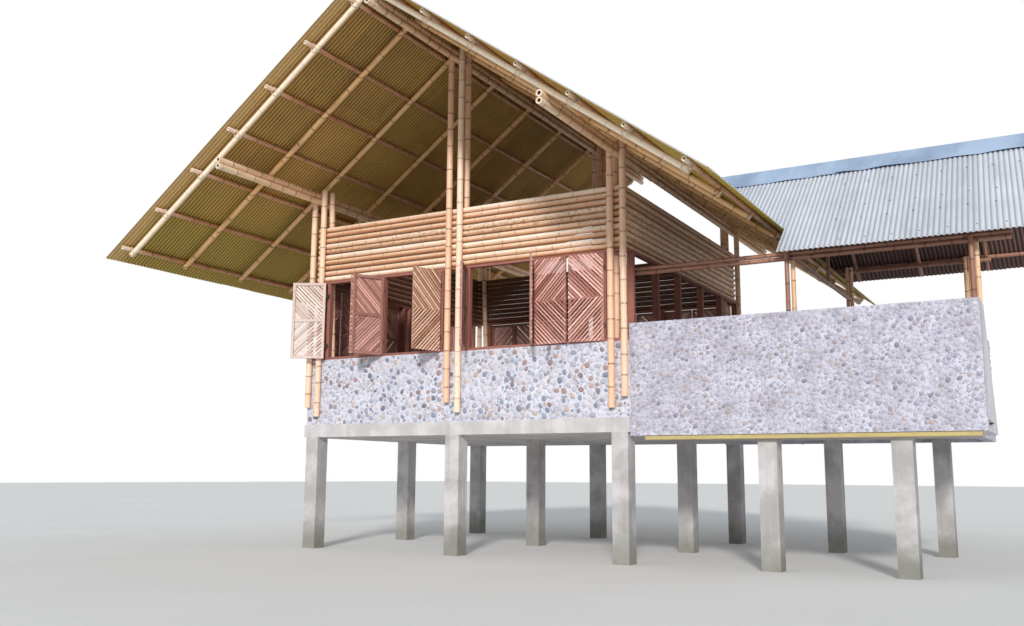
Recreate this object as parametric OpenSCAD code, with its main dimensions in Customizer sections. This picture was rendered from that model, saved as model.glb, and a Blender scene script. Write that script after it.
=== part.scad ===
// Bamboo house on concrete columns, with a roofed terrace on its right side.
// Origin: ground level, front left wall plate. X runs right, Y to the back, Z up. Sizes in mm.

/* [House] */
// Distance between the two wall plates
house_w = 5400; // [4200:50:6600]
// Depth of the walled room, front face to back face
house_l = 5200; // [4200:50:6400]
// Top of the floor slab above the ground
floor_h = 1950; // [1500:10:2600]
// Thickness of the floor slabs
slab_t = 200; // [150:10:260]
// Side of a square column
column_w = 240; // [180:10:300]
// How far the slab edge stands out from the wall face
slab_lip = 20; // [10:5:40]

/* [Walls] */
// Height of the pebble wall under the windows
dado_h = 1050; // [800:10:1200]
// Thickness of the pebble walls
wall_t = 120; // [100:5:140]
// Window head above the floor
head_h = 2310; // [2150:10:2500]
// Number of culms in the band over the windows
band_n = 10; // [6:1:11]
// Pitch of the culms in that band
band_pitch = 93; // [85:1:96]
// Width of the frame timbers
frame_w = 60; // [45:5:70]
// Depth of the frame timbers
frame_t = 84; // [70:2:90]
// Thickness of sill and head boards
board_t = 40; // [30:5:50]
// Clear width of the doorway to the terrace
door_w = 1000; // [800:50:1100]

/* [Shutters] */
// Width of one shutter leaf
leaf_w = 550; // [480:5:555]
// Thickness of a leaf's frame
leaf_t = 32; // [26:1:40]
// Width of a leaf's stiles and rails
stile_w = 45; // [35:1:60]
// Number of split-bamboo strips across half a leaf
strip_n = 11; // [7:1:13]

/* [Bamboo frame] */
// Diameter of the post culms
post_d = 100; // [85:1:110]
// Diameter of the wall plate and ridge culms
beam_d = 95; // [85:1:105]
// Diameter of the rafter culms
rafter_d = 80; // [70:1:100]
// Diameter of the purlin culms
purlin_d = 68; // [60:1:100]
// Wall thickness of a culm at its cut end
culm_wall = 20; // [8:1:24]
// Upper wall plate axis above the floor
plate_h = 3810; // [3600:10:4000]
// Play between pieces that rest on each other
seat = 0.3; // [0.2:0.1:0.6]

/* [Roof] */
// Slope of every roof face in degrees
pitch = 36; // [30:0.5:40]
// Eave beyond the wall plate, measured level
eave_out = 2150; // [1800:10:2400]
// Verge beyond the front wall face
verge_out = 2520; // [2300:10:2700]
// Outermost rafter in front of the wall axis
rafter_out = 2310; // [2100:10:2400]
// Rafter bays over the room
rafter_bays = 4; // [3:1:5]
// Purlins on one slope
purlin_n = 7; // [5:1:8]
// Eave to first purlin, measured level
purlin_first = 290; // [200:10:400]
// Topmost purlin to the ridge, measured level
purlin_last = 290; // [260:10:400]
// Pitch of the corrugations
wave_p = 63.5; // [60:0.5:80]
// Height of the corrugations
wave_h = 16; // [12:1:18]
// Thickness of the roof sheet
sheet_t = 1.2; // [1:0.1:2]
// Width of one wing of the ridge cap
cap_w = 260; // [180:10:300]

/* [Terrace] */
// Terrace width beyond the house wall
terrace_w = 4360; // [3600:50:5000]
// Terrace depth
terrace_l = 4200; // [3800:50:5000]
// Height of the terrace parapet
parapet_h = 1280; // [1000:10:1400]
// Corner wall's top beyond the terrace plates
pier_top = 260; // [150:10:500]
// How much longer the corner wall is at its foot
pier_foot = 940; // [500:10:1300]
// How far the right parapet stands back behind the corner wall
inset = 220; // [160:10:320]
// Terrace ridge above the floor, at the sheet
ridge2_h = 3950; // [3750:10:4150]
// Near eave beyond the terrace ridge, measured level
near_run = 2630; // [2300:10:2700]
// Far eave beyond the terrace ridge, measured level
far_run = 2060; // [1900:10:2300]
// Diameter of the terrace roof culms
culm2_d = 62; // [55:1:80]
// Roof beyond the terrace's right face
roof2_out = 620; // [400:10:800]
// Width of one wing of the terrace ridge cap
cap2_w = 610; // [300:10:700]

/* [Hidden] */
$fn = 40;

CONCRETE = [0.72, 0.7, 0.68];
PEBBLE = [0.78, 0.74, 0.73];
BAMBOO = [0.86, 0.68, 0.46];
GOLD = [0.66, 0.44, 0.2];
TIMBER = [0.42, 0.22, 0.16];
ZINC = [0.72, 0.75, 0.76];
SLATE = [0.5, 0.56, 0.62];

slope_t = tan(pitch);
slope_c = cos(pitch);
slope_s = sin(pitch);
ridge_x = house_w / 2;
side_x = -post_d * 1.5;                  // outer face of the left wall
wall_x1 = house_w - side_x;              // outer face of the right wall
sill_z = floor_h + dado_h;
head_z = floor_h + head_h;
band_z = head_z + board_t;
band_top = band_z + band_n * band_pitch;
plate_z = floor_h + plate_h;
post_top = plate_z + post_d * 0.95;
gap_y = max(band_pitch, rafter_d) + 2 * seat;   // between the outer and inner post culms
axis_y = gap_y / 2;                      // rafters over a wall stand in that gap
bay = (house_l - 2 * axis_y) / rafter_bays;

// heights of the roof layers over the left wall plate
rafter_z = plate_z + (beam_d / 2 + rafter_d / 2 + seat) / slope_c;
purlin_z = rafter_z + (rafter_d / 2 + purlin_d / 2 + seat) / slope_c;
sheet_z = purlin_z + (purlin_d / 2 + seat) / slope_c;
ridge_z = plate_z + ridge_x * slope_t;   // upper ridge culm
roof_l = house_l + 2 * verge_out;
slope_run = ridge_x + eave_out;
purlin_step = (slope_run - purlin_first - purlin_last) / (purlin_n - 1);
over_1 = rafter_out * 0.539;
rafter_ys = concat([axis_y - rafter_out, axis_y - over_1],
    [for (i = [0:rafter_bays]) axis_y + i * bay],
    [house_l - axis_y + over_1, house_l - axis_y + rafter_out]);

// terrace roof
terrace_x1 = wall_x1 + terrace_w;
ridge2_y = terrace_l * 0.619;
ridge2_z = floor_h + ridge2_h;
eave_x = house_w + eave_out;             // main roof's right edge
roof2_x1 = terrace_x1 + roof2_out;
purlin2_z = ridge2_z - (culm2_d / 2 + seat) / slope_c;
rafter2_z = purlin2_z - (culm2_d + seat) / slope_c;
beam2_z = rafter2_z - (culm2_d + seat) / slope_c;
front2_y = ridge2_y - near_run * 0.875;
rear2_y = terrace_l + 50;
post2_x = [terrace_x1 - 41, eave_x + 140];
rear2_x = [terrace_x1 - inset * 2, post2_x[1]];
post2_foot = [floor_h + parapet_h + seat, floor_h + seat];

// Culms laid along the three axes
module culm_x(x0, x1, y, z, d) {
    translate([x0, y, z]) rotate([0, 90, 0]) cylinder(h = x1 - x0, d = d);
}
module culm_y(y0, y1, x, z, d) {
    translate([x, y0, z]) rotate([-90, 0, 0]) cylinder(h = y1 - y0, d = d);
}
module culm_z(x, y, z0, z1, d) {
    translate([x, y, z0]) cylinder(h = z1 - z0, d = d);
}
// A culm with both cut ends open for a short way
module open_culm_y(y0, y1, x, z, d) {
    deep = d;
    difference() {
        culm_y(y0, y1, x, z, d);
        culm_y(y0 - 1, y0 + deep, x, z, d - 2 * culm_wall);
        culm_y(y1 - deep, y1 + 1, x, z, d - 2 * culm_wall);
    }
}

// Columns and slabs
module column(x, y) {
    translate([x - column_w / 2, y - column_w / 2, 0])
        cube([column_w, column_w, floor_h - slab_t]);
}
column_y = [column_w / 2 - slab_lip, house_l / 2, house_l - column_w / 2 + slab_lip];
module main_columns() {
    color(CONCRETE) for (x = [0, ridge_x, house_w], y = column_y) column(x, y);
}
column2_x = [wall_x1 + terrace_w * 0.415, terrace_x1 - terrace_w * 0.217];
column2_y = [wall_t + seat + column_w / 2, terrace_l - wall_t - seat - column_w / 2];
module terrace_columns() {
    color(CONCRETE) for (x = column2_x, y = column2_y) column(x, y);
}
module main_slab() {
    color(CONCRETE) translate([side_x - slab_lip, -slab_lip, floor_h - slab_t])
        cube([wall_x1 - side_x + slab_lip, house_l + 2 * slab_lip, slab_t]);
}
module terrace_slab() {
    color(CONCRETE) translate([wall_x1, wall_t, floor_h - slab_t])
        cube([terrace_w - inset - wall_t, terrace_l - 2 * wall_t, slab_t]);
}

// Pebble walls
module dado_x(x0, x1, y) {
    color(PEBBLE) translate([x0, y, floor_h]) cube([x1 - x0, wall_t, dado_h]);
}
module dado_y(y0, y1, x) {
    color(PEBBLE) translate([x, y0, floor_h]) cube([wall_t, y1 - y0, dado_h]);
}
mid_y = house_l / 2;
door_y0 = mid_y - door_w / 2;
module front_dado() { dado_x(side_x, wall_x1, 0); }
module rear_dado() { dado_x(side_x, wall_x1, house_l - wall_t); }
module left_dado() { dado_y(wall_t, house_l - wall_t, side_x); }
module right_dado_front() { dado_y(wall_t, door_y0, wall_x1 - wall_t); }
module right_dado_rear() { dado_y(door_y0 + door_w, house_l - wall_t, wall_x1 - wall_t); }

// Window frames: sill board, head board and upright timbers between them.
// xs lists the left edge of each upright.
module frame(x0, x1, xs) {
    depth = frame_t;
    color(TIMBER) union() {
        translate([x0, 0, sill_z]) cube([x1 - x0, wall_t, board_t]);
        translate([x0, 0, head_z]) cube([x1 - x0, depth, board_t]);
        for (x = xs) translate([x, 0, sill_z + board_t - 1])
            cube([frame_w, depth, head_z - sill_z - board_t + 2]);
    }
}
win_l = [post_d * 1.9, ridge_x - post_d * 2.15];
win_r = [ridge_x + post_d * 2, house_w - post_d * 1.9];
function uprights(w) = [w[0], (w[0] + w[1] - frame_w) / 2, w[1] - frame_w];
module front_left_frame() { frame(side_x, ridge_x - seat, uprights(win_l)); }
module front_right_frame() { frame(ridge_x + seat, wall_x1, uprights(win_r)); }
module rear_frames() {
    translate([0, house_l, 0]) mirror([0, 1, 0]) {
        front_left_frame();
        front_right_frame();
    }
}
side_l0 = wall_t + seat;
side_l1 = house_l - wall_t - seat;
side_win = [[side_l0 + frame_w, mid_y - frame_w], [mid_y + frame_w, side_l1 - frame_w]];
module side_frame(y0, y1, ys) {
    depth = wall_t - 20;
    color(TIMBER) union() {
        translate([0, y0, sill_z]) cube([wall_t, y1 - y0, board_t]);
        translate([0, y0, head_z]) cube([depth, y1 - y0, board_t]);
        for (y = ys) translate([0, y, sill_z + board_t - 1])
            cube([depth, frame_w, head_z - sill_z - board_t + 2]);
    }
}
module left_frames() {
    translate([side_x, 0, 0]) side_frame(side_l0, side_l1,
        concat(uprights(side_win[0]), uprights(side_win[1])));
}
module right_frames() {
    color(TIMBER) translate([wall_x1, 0, 0]) mirror([1, 0, 0]) {
        difference() {
            side_frame(side_l0, side_l1, [side_l0 + frame_w, (side_l0 + door_y0) / 2,
                (door_y0 + door_w + side_l1) / 2, side_l1 - 2 * frame_w]);
            translate([-1, door_y0, sill_z - 1]) cube([wall_t + 2, door_w, board_t + 2]);
        }
        for (y = [door_y0 - frame_w, door_y0 + door_w])
            translate([0, y, sill_z + board_t]) cube([wall_t - 20, frame_w, head_z - sill_z - board_t]);
    }
}

// Bands of culms over the windows
module band_x(x0, x1, y) {
    color(BAMBOO) for (i = [0:band_n - 1])
        culm_x(x0, x1, y, band_z + (i + 0.5) * band_pitch, band_pitch - seat * 2);
}
module band_y(y0, y1, x) {
    color(BAMBOO) for (i = [0:band_n - 1])
        culm_y(y0, y1, x, band_z + (i + 0.5) * band_pitch, band_pitch - seat * 2);
}
joint_x = ridge_x - post_d;
module front_left_band() { band_x(-post_d * 0.4, joint_x, axis_y); }
module front_right_band() { band_x(joint_x + seat, house_w + post_d * 0.4, axis_y); }
module rear_band() { band_x(-post_d * 0.4, house_w + post_d * 0.4, house_l - axis_y); }
band_y0 = gap_y;
module left_band() { band_y(band_y0, house_l - band_y0, -post_d * 0.5); }
module right_band() { band_y(band_y0, house_l - band_y0, house_w + post_d * 0.5); }

// Shutter leaf: frame, middle rail and slanting split-bamboo strips.
// The hinge edge is the Z axis and the closed leaf runs along +X; face points to -Y.
leaf_h = head_h - dado_h - board_t + 25; // it covers the sill board's edge
leaf_z = head_z - 3 - leaf_h;
hinge_in = 14;                           // hinge axis inside the edge of its upright
function half_opening(w) = (w[1] - w[0] - 3 * frame_w) / 4;
leaf_b = min(leaf_w, min(half_opening(win_l), half_opening(side_win[0])) + hinge_in - 6);
strip_w = 26;
strip_t = 8;
module strips(z0, h, lean) {
    w = leaf_b - 2 * stile_w;
    step = (w + h) / (strip_n + 1);
    intersection() {
        translate([stile_w - 2, -strip_t / 2, z0 - 2]) cube([w + 4, strip_t, h + 4]);
        for (i = [1:strip_n]) translate([stile_w + w / 2 + lean * (i * step - (w + h) / 2), 0, z0 + h / 2])
            rotate([0, -lean * 45, 0]) cube([strip_w, strip_t, 3 * h], center = true);
    }
}
module leaf() {
    half = (leaf_h - 3 * stile_w) / 2;
    color(TIMBER) union() {
        difference() {
            translate([0, -leaf_t / 2, 0]) cube([leaf_b, leaf_t, leaf_h]);
            for (z = [stile_w, 2 * stile_w + half])
                translate([stile_w, -leaf_t, z]) cube([leaf_b - 2 * stile_w, 2 * leaf_t, half]);
        }
        strips(stile_w, half, 1);
        strips(2 * stile_w + half, half, -1);
    }
}
// Two hinges on the leaf's edge, each a knuckle with a plate back to the upright
knuckle_d = 24;
knuckle_h = 70;
// side 1 hangs the leaf on its left edge, side -1 on its right edge
module hung_leaf(x, side, open, out = 3) {
    back = leaf_t / 2 + out;
    color(TIMBER) translate([x, -back, leaf_z]) mirror([side < 0 ? 1 : 0, 0, 0]) union() {
        rotate([0, 0, -open]) translate([3, 0, 0]) leaf();
        for (z = [leaf_h * 0.17, leaf_h * 0.83]) translate([0, 0, z - knuckle_h / 2]) {
            cylinder(h = knuckle_h, d = knuckle_d);
            translate([-knuckle_d / 2, 0, 0]) cube([knuckle_d, back - seat, knuckle_h]);
        }
    }
}
function mid_l() = (win_l[0] + win_l[1]) / 2;
function mid_r() = (win_r[0] + win_r[1]) / 2;
module shutter_1() { hung_leaf(win_l[0] + 45, 1, 150, 70); }
module shutter_2() { hung_leaf(mid_l() - 20, -1, 67); }
module shutter_3() { hung_leaf(mid_l() + 20, 1, 113); }
module shutter_4() { hung_leaf(win_l[1] - 35, -1, 74); }
module shutter_5() { hung_leaf(win_r[0] + 15, 1, 66); }
module shutter_6() { hung_leaf(mid_r() - 20, -1, 118); }
module shutter_7() { hung_leaf(mid_r() + 20, 1, 4); }
module shutter_8() { hung_leaf(win_r[1] - 20, -1, 4); }
module closed_pairs(w) {
    u = uprights(w);
    for (i = [0, 1]) {
        hung_leaf(u[i] + frame_w - hinge_in, 1, 0);
        hung_leaf(u[i + 1] + hinge_in, -1, 0);
    }
}
module rear_shutters() {
    translate([0, house_l, 0]) mirror([0, 1, 0])
        for (w = [win_l, win_r]) closed_pairs(w);
}
module left_shutters() {
    translate([side_x, 0, 0]) rotate([0, 0, -90]) mirror([1, 0, 0])
        for (w = side_win) closed_pairs(w);
}

// Post bundles: two culms before the wall, one behind it, the beams between them
post_off = (beam_d + post_d) / 2 + seat;
// lean is how far the foot of the culm behind the wall stands off to the side
module posts(x, side, foot, top, lean = 0) {
    z0 = sill_z + board_t + 6;
    turn = atan(lean / (plate_z - z0));
    color(BAMBOO) {
        culm_z(x - side * post_off, -post_d / 2 - seat, foot + 150, top, post_d);
        culm_z(x + side * post_off, -post_d / 2 - seat, foot, top, post_d);
        translate([x + side * (post_off + lean), gap_y + post_d / 2, z0])
            rotate([0, -side * turn, 0]) cylinder(h = (top - z0) / cos(turn), d = post_d);
    }
}
foot_z = floor_h + 130;
module front_left_posts() { posts(0, 1, foot_z, post_top, 120); }
module front_middle_posts() { posts(ridge_x, 1, foot_z, ridge_z + post_d); }
module front_right_posts() { posts(house_w, -1, foot_z, post_top); }
module rear_posts() {
    translate([0, house_l, 0]) mirror([0, 1, 0]) {
        front_left_posts();
        front_middle_posts();
        front_right_posts();
    }
}

// Wall plates and ridge: two culms one on the other
beam_y0 = axis_y - rafter_out - rafter_d;
module double_beam(x, z) {
    color(BAMBOO) for (k = [0, 1])
        open_culm_y(beam_y0, house_l - beam_y0, x, z - k * (beam_d + seat), beam_d);
}
module left_plate() { double_beam(0, plate_z); }
module right_plate() { double_beam(house_w, plate_z); }
module ridge_beam() { double_beam(ridge_x, ridge_z); }

// Rafters of the left slope; the right ones mirror them
module slope_culm(y) {
    x0 = -eave_out + purlin_first;
    x1 = ridge_x - rafter_d / 2 * slope_s - seat;
    translate([x0, y, rafter_z + x0 * slope_t]) rotate([0, 90 - pitch, 0])
        cylinder(h = (x1 - x0) / slope_c, d = rafter_d);
}
module left_rafters() {
    color(BAMBOO) for (y = rafter_ys) slope_culm(y);
}
module to_right() { translate([house_w, 0, 0]) mirror([1, 0, 0]) children(); }
module right_rafters() { to_right() left_rafters(); }
purlin_y0 = -verge_out + 80;
module left_purlins() {
    color(GOLD) for (i = [0:purlin_n - 1]) {
        x = -eave_out + purlin_first + i * purlin_step;
        open_culm_y(purlin_y0, house_l - purlin_y0, x, purlin_z + x * slope_t, purlin_d);
    }
}
module right_purlins() { to_right() left_purlins(); }

// Corrugated sheet, run along +Y for its width and up the slope for its length
function wave(w) = [for (i = [0:floor(w / wave_p * 4)])
    [i * wave_p / 4, wave_h / 2 + (i % 4 < 2 ? 1 : -1) * wave_h / 2]];
module corrugated(w, len) {
    pts = wave(w);
    linear_extrude(len) polygon(concat(pts, [for (i = [len(pts) - 1:-1:0]) pts[i] + [0, sheet_t]]));
}
// The sheet of the left slope; its lower edge lies at the eave
module left_roof() {
    color(ZINC) translate([-eave_out, -verge_out, sheet_z - eave_out * slope_t])
        rotate([0, -pitch, 0]) rotate([90, 0, 90])
            corrugated(roof_l, (slope_run - sheet_t - seat) / slope_c - wave_h * slope_s);
}
module right_roof() { to_right() left_roof(); }
module cap_profile(wing) {
    t = sheet_t * 2;
    w = wing * slope_c;
    h = wing * slope_s;
    polygon([[-w, -h], [0, 0], [w, -h], [w, -h + t], [0, t], [-w, -h + t]]);
}
module ridge_cap() {
    z = sheet_z + ridge_x * slope_t + (wave_h + sheet_t + seat) / slope_c;
    color(SLATE) translate([ridge_x, house_l + verge_out, z]) rotate([90, 0, 0])
        linear_extrude(roof_l) cap_profile(cap_w);
}

// Terrace parapets
parapet_z0 = floor_h - slab_t - 50;
module front_parapet() {
    color(PEBBLE) translate([wall_x1, 0, parapet_z0])
        cube([terrace_w, wall_t, floor_h + parapet_h - parapet_z0]);
}
module rear_parapet() {
    color(PEBBLE) translate([wall_x1, terrace_l - wall_t, parapet_z0])
        cube([terrace_w - inset - wall_t, wall_t, floor_h + parapet_h - parapet_z0]);
}
module right_parapet() {
    color(PEBBLE) translate([terrace_x1 - inset - wall_t, wall_t + seat, parapet_z0])
        cube([wall_t, terrace_l - wall_t - seat, floor_h + parapet_h - parapet_z0]);
}
// The corner wall's rear edge slopes; a piece has broken out of its foot
module corner_wall() {
    h = floor_h + parapet_h - parapet_z0;
    w = inset - seat;
    top = front2_y - wall_t + pier_top;
    foot = top + pier_foot;
    color(PEBBLE) translate([terrace_x1 - w, wall_t + seat, parapet_z0]) difference() {
        rotate([90, 0, 90]) linear_extrude(w)
            polygon([[0, 0], [foot, 0], [top, h], [0, h]]);
        translate([w - 90, 0, 0]) rotate([90, 0, 90]) linear_extrude(91)
            polygon([[30, 135], [foot * 0.66, 125], [190, 15]]);
    }
}
module edge_board() {
    color(GOLD) translate([wall_x1 + terrace_w * 0.046, wall_t / 6, parapet_z0 - 60])
        cube([terrace_w * 0.94, wall_t * 0.75, 60]);
}

// Terrace roof frame. The two front post culms hold the plates between them.
module terrace_posts() {
    color(BAMBOO) for (i = [0, 1], k = [-1, 1]) {
        culm_z(post2_x[i] + k * culm2_d * 0.37, front2_y + k * (culm2_d + seat), post2_foot[i],
            near_z + culm2_d * 0.8, culm2_d);
        culm_z(rear2_x[i] + k * (culm2_d / 2 + seat), rear2_y - culm2_d - seat, post2_foot[0],
            far_z + culm2_d, culm2_d);
    }
}
near_z = beam2_z - (ridge2_y - front2_y) * slope_t;
far_z = beam2_z - (rear2_y - ridge2_y) * slope_t;
module terrace_plates() {
    color(BAMBOO) {
        for (k = [0, 1])
            culm_x(wall_x1 + 5, terrace_x1 + roof2_out * 0.6, front2_y, near_z - k * (culm2_d + seat), culm2_d);
        culm_x(eave_x + 20, rafter2_x1 + culm2_d, rear2_y, far_z, culm2_d);
    }
}
module terrace_frame() {
    tie_in = culm2_d * 1.5 + 2 * seat;
    color(BAMBOO) {
        culm_x(eave_x + 40, terrace_x1 + roof2_out * 0.47, ridge2_y, beam2_z, culm2_d);
        culm_y(front2_y + tie_in, rear2_y - tie_in, post2_x[1], near_z, culm2_d);
        culm_z(post2_x[1], ridge2_y, near_z + culm2_d / 2 + seat, beam2_z - culm2_d / 2 - seat, culm2_d);
    }
}
rafter2_x0 = post2_x[1] + culm2_d * 1.6;
rafter2_x1 = terrace_x1 - 175;
rafter2_xs = [rafter2_x0, (rafter2_x0 + rafter2_x1) / 2, rafter2_x1];
module rafter2(x, reach) {
    translate([x, ridge2_y + culm2_d / 2 * slope_s + seat, rafter2_z - culm2_d / 2 * slope_s * slope_t])
        rotate([-90 - pitch, 0, 0]) cylinder(h = reach / slope_c, d = culm2_d);
}
module terrace_rafters() {
    color(BAMBOO) for (x = rafter2_xs) {
        rafter2(x, far_run * 0.918);
        translate([0, 2 * ridge2_y, 0]) mirror([0, 1, 0]) rafter2(x, ridge2_y - front2_y);
    }
}
// What lies below the main roof's right slope is cut away inside its eave
module valley_cut() {
    lift = (wave_h + sheet_t * 2) / slope_c;
    z = sheet_z + lift;
    x1 = eave_x + 12;
    translate([0, house_l + verge_out, 0]) rotate([90, 0, 0]) linear_extrude(roof_l)
        polygon([[house_w, 0], [x1, 0], [x1, z - (x1 - house_w) * slope_t], [house_w, z]]);
}
module terrace_purlins() {
    color(GOLD) difference() {
        union() {
            for (d = near_run * [0.05, 0.327, 0.596, 0.873]) culm_x(house_w + 100, roof2_x1 - 60,
                ridge2_y - d, purlin2_z - d * slope_t, culm2_d);
            for (d = far_run * [0.063, 0.485, 0.86]) culm_x(house_w + 100, roof2_x1 - 60,
                ridge2_y + d, purlin2_z - d * slope_t, culm2_d);
        }
        valley_cut();
    }
}
module terrace_sheet(run) {
    translate([house_w, ridge2_y - run, ridge2_z - run * slope_t])
        rotate([pitch, 0, 0]) rotate([90, 0, 0]) mirror([0, 0, 1])
            corrugated(roof2_x1 - house_w, (run - sheet_t) / slope_c - wave_h * slope_s);
}
module terrace_near_roof() {
    color(ZINC) difference() {
        terrace_sheet(near_run);
        valley_cut();
    }
}
module terrace_far_roof() {
    color(ZINC) difference() {
        translate([0, 2 * ridge2_y, 0]) mirror([0, 1, 0]) terrace_sheet(far_run);
        valley_cut();
    }
}
module terrace_cap() {
    z = ridge2_z + (wave_h + sheet_t + seat) / slope_c;
    color(SLATE) difference() {
        translate([house_w, ridge2_y, z]) rotate([90, 0, 90])
            linear_extrude(roof2_x1 - house_w) cap_profile(cap2_w);
        valley_cut();
    }
}

main_columns();
terrace_columns();
main_slab();
terrace_slab();
front_dado();
rear_dado();
left_dado();
right_dado_front();
right_dado_rear();
front_left_frame();
front_right_frame();
rear_frames();
left_frames();
right_frames();
front_left_band();
front_right_band();
rear_band();
left_band();
right_band();
shutter_1();
shutter_2();
shutter_3();
shutter_4();
shutter_5();
shutter_6();
shutter_7();
shutter_8();
rear_shutters();
left_shutters();
front_left_posts();
front_middle_posts();
front_right_posts();
rear_posts();
left_plate();
right_plate();
ridge_beam();
left_rafters();
right_rafters();
left_purlins();
right_purlins();
left_roof();
right_roof();
ridge_cap();
front_parapet();
corner_wall();
right_parapet();
rear_parapet();
edge_board();
terrace_posts();
terrace_plates();
terrace_frame();
terrace_rafters();
terrace_purlins();
terrace_near_roof();
terrace_far_roof();
terrace_cap();
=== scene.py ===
import math
import random

import bmesh
import bpy
import numpy as np
from mathutils import Matrix, Vector


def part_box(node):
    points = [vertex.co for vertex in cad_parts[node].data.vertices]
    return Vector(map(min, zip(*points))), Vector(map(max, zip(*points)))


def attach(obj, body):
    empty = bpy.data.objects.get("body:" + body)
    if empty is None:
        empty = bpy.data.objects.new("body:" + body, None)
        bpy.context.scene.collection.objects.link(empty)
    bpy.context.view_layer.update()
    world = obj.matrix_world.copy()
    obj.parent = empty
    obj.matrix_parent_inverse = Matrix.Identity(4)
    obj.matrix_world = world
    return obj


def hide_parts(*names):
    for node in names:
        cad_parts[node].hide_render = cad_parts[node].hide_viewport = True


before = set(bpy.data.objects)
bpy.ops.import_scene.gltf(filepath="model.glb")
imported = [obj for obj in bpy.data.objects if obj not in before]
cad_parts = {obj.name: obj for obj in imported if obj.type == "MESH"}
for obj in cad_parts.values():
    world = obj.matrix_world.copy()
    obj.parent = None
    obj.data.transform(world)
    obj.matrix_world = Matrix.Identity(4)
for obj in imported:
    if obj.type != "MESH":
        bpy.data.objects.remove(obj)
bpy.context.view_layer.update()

# The view. The viewer stands on the ground in front of the terrace with a wide lens, and looks
# up and to the left, so that the gable's deep roof is seen from below.
yaw, tilt, lean = (math.radians(v) for v in (-29.812, 9.272, -0.361))
ahead = Vector((math.sin(yaw) * math.cos(tilt), math.cos(yaw) * math.cos(tilt), math.sin(tilt)))
across = Vector((math.cos(yaw), -math.sin(yaw), 0.0))
down = ahead.cross(across)
image_x = across * math.cos(lean) + down * math.sin(lean)
image_y = down * math.cos(lean) - across * math.sin(lean)
camera = bpy.data.objects.new("camera", bpy.data.cameras.new("camera"))
camera.data.lens = 34.86
camera.data.clip_end = 400.0
camera.matrix_world = Matrix((image_x, -image_y, -ahead)).transposed().to_4x4()
camera.location = (10.834, -12.45, 1.169)
bpy.context.collection.objects.link(camera)
bpy.context.scene.camera = camera
bpy.context.scene.view_settings.view_transform = "Standard"


# Light and ground. A pale studio floor under an even white sky. A low warm sun stands in front
# on the right, nearly behind the viewer, and shines in under the deep roof.
class Value:
    """A node's output that adds, multiplies and compares like a number."""

    def __init__(self, paint, socket):
        self.paint = paint
        self.socket = socket

    def __add__(self, other):
        return self.paint.math("ADD", self, other)

    __radd__ = __add__

    def __sub__(self, other):
        return self.paint.math("SUBTRACT", self, other)

    def __rsub__(self, other):
        return self.paint.math("SUBTRACT", other, self)

    def __mul__(self, other):
        return self.paint.math("MULTIPLY", self, other)

    __rmul__ = __mul__

    def __truediv__(self, other):
        return self.paint.math("DIVIDE", self, other)

    def __lt__(self, other):
        return self.paint.math("LESS_THAN", self, other)


class Paint:
    """One material and the nodes that make it."""

    def __init__(self, name, tree=None):
        if tree is None:
            self.material = bpy.data.materials.new(name)
            self.material.use_nodes = True
            tree = self.material.node_tree
        self.tree = tree
        tree.nodes.clear()

    def node(self, kind, settings=None, inputs=None, out=0):
        made = self.tree.nodes.new("ShaderNode" + kind)
        for key, value in (settings or {}).items():
            if key == "stops":
                ramp = made.color_ramp.elements
                while len(ramp) < len(value):
                    ramp.new(0.5)
                for stop, (place, colour) in zip(ramp, value):
                    stop.position = place
                    stop.color = (*colour, 1.0) if isinstance(colour, tuple) else (colour,) * 3 + (1.0,)
            else:
                setattr(made, key, value)
        for key, value in (inputs or {}).items():
            if isinstance(value, Value):
                self.tree.links.new(value.socket, made.inputs[key])
            elif isinstance(value, tuple) and len(value) == 3 and made.inputs[key].type == "RGBA":
                made.inputs[key].default_value = (*value, 1.0)
            else:
                made.inputs[key].default_value = value
        return Value(self, made.outputs[out]) if len(made.outputs) else None

    def math(self, operation, *values):
        return self.node("Math", {"operation": operation}, dict(enumerate(values)))

    def clamp(self, value):
        return self.node("Clamp", None, {0: value, 1: 0.0, 2: 1.0})

    def step(self, value, low, high):
        """0 below low, 1 above high, smooth between them"""
        ends = {0: value, 1: low, 2: high, 3: 0.0, 4: 1.0}
        return self.node("MapRange", {"interpolation_type": "SMOOTHSTEP"}, ends)

    def mix(self, amount, first, second):
        return self.node("Mix", {"data_type": "RGBA"}, {0: amount, 6: first, 7: second}, 2)

    def coats(self, colour, *coats):
        """Lays colours over the first: (colour, value, low, high, amount), one after the other"""
        for other, value, low, high, amount in coats:
            colour = self.mix(self.step(value, low, high) * amount, colour, other)
        return colour

    def ramp(self, value, *stops):
        return self.node("ValToRGB", {"stops": stops}, {0: value})

    def attribute(self, name, part=None):
        vector = self.node("Attribute", {"attribute_name": name}, None, 1)
        if part is None:
            return vector
        return self.node("SeparateXYZ", None, {0: vector}, part)

    def stretch(self, vector, scale):
        return self.node("VectorMath", {"operation": "MULTIPLY"}, {0: vector, 1: scale})

    def noise(self, vector, scale, detail=4.0, rough=0.55):
        inputs = {"Vector": vector, "Scale": scale, "Detail": detail, "Roughness": rough}
        return self.node("TexNoise", None, inputs)

    def surface(self, colour, rough, metal=0.0, height=None, depth=0.002, strength=0.6):
        inputs = {"Base Color": colour, "Roughness": rough, "Metallic": metal}
        if height is not None:
            relief = {"Strength": strength, "Distance": depth, "Height": height}
            inputs["Normal"] = self.node("Bump", None, relief)
        shader = self.node("BsdfPrincipled", None, inputs)
        self.node("OutputMaterial", None, {0: shader})
        return self.material


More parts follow.
